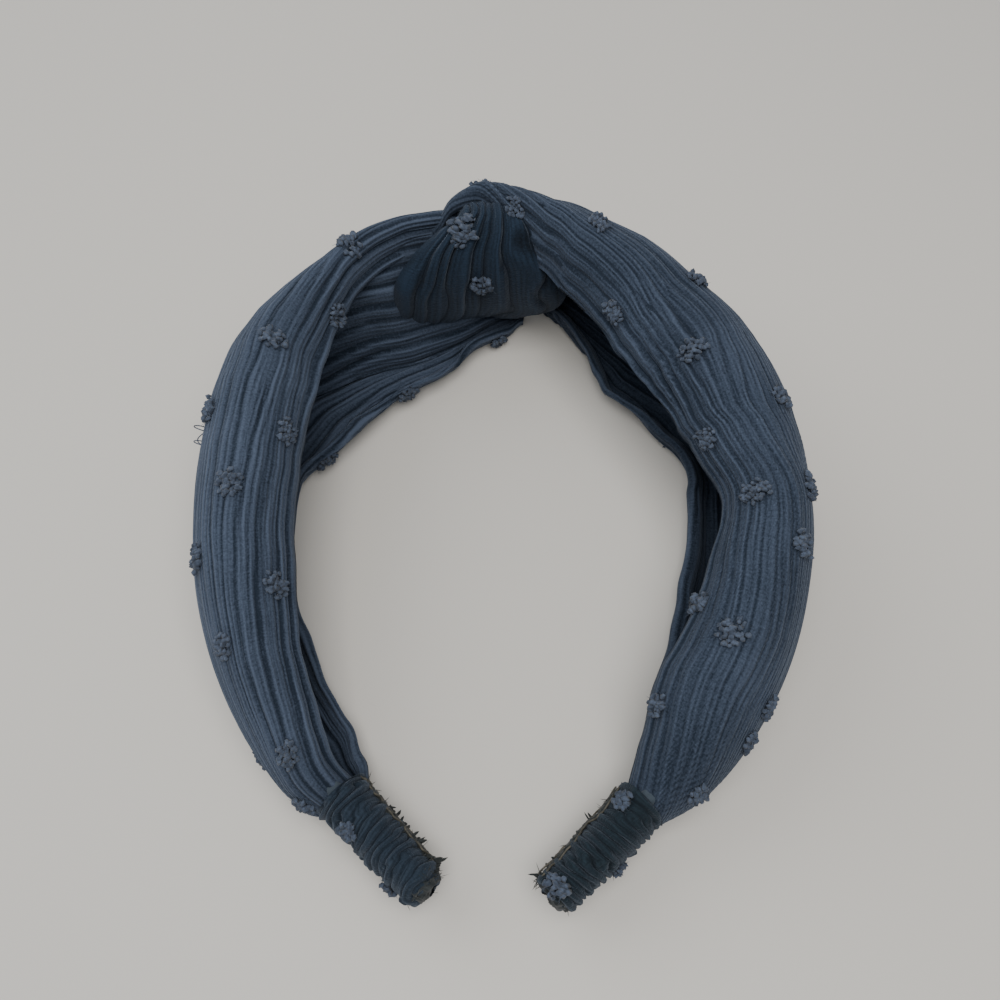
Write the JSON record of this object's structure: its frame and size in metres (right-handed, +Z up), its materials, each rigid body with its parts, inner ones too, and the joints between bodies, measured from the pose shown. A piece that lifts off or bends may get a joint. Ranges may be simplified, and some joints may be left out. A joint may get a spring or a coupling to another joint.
{
  "type": "knotted headband",
  "caption": "Springy U-shaped hair band under wide pleated cloth drapes, with a knot at the crown and wound cloth tips.",
  "frame": {"origin": "middle of the base of the bounding box, with the headband lying on its side", "axes": "+Y from the tips towards the knotted crown, +X towards the right arm, +Z up, across the band's width"},
  "size_m": [0.135, 0.1592, 0.0501],
  "materials": {
    "pleated_chiffon": "matt crinkled slate-blue chiffon with clip-dot tufts",
    "lining_cloth": "smooth matt blue lining",
    "binding_cloth": "dark teal chiffon wound in tight ridges",
    "worn_cloth": "worn, felted grey cloth end",
    "band_plastic": "moulded black plastic",
    "dried_glue": "dried, yellowed glue with frayed threads",
    "thread": "polyester sewing thread"
  },
  "bodies": {
    "crown": {"core_crown": "band_plastic", "crown_sleeve": "lining_cloth", "knot_wrap": "pleated_chiffon", "knot_stitch": "thread", "left_drape_shoulder": "pleated_chiffon", "right_drape_shoulder": "pleated_chiffon"},
    "left_arm": {"core_left": "band_plastic", "left_sleeve": "lining_cloth", "left_drape": "pleated_chiffon", "left_binding": "binding_cloth", "left_tip_fold": "worn_cloth", "left_glue_seam": "dried_glue"},
    "right_arm": {"core_right": "band_plastic", "right_sleeve": "lining_cloth", "right_drape": "pleated_chiffon", "right_binding": "binding_cloth", "right_tip_fold": "worn_cloth", "right_glue_seam": "dried_glue"}
  },
  "joints": [
    {"name": "left_arm_flex", "type": "hinge", "parent": "crown", "child": "left_arm", "pos_m": [-0.02519, 0.06494, 0.025], "axis": [0, 0, -1], "range_deg": [-2.5, 18], "stiffness_Nm_per_rad": 0.6},
    {"name": "right_arm_flex", "type": "hinge", "parent": "crown", "child": "right_arm", "pos_m": [0.02514, 0.06494, 0.025], "axis": [0, 0, 1], "range_deg": [-2.5, 18], "stiffness_Nm_per_rad": 0.6}
  ]
}
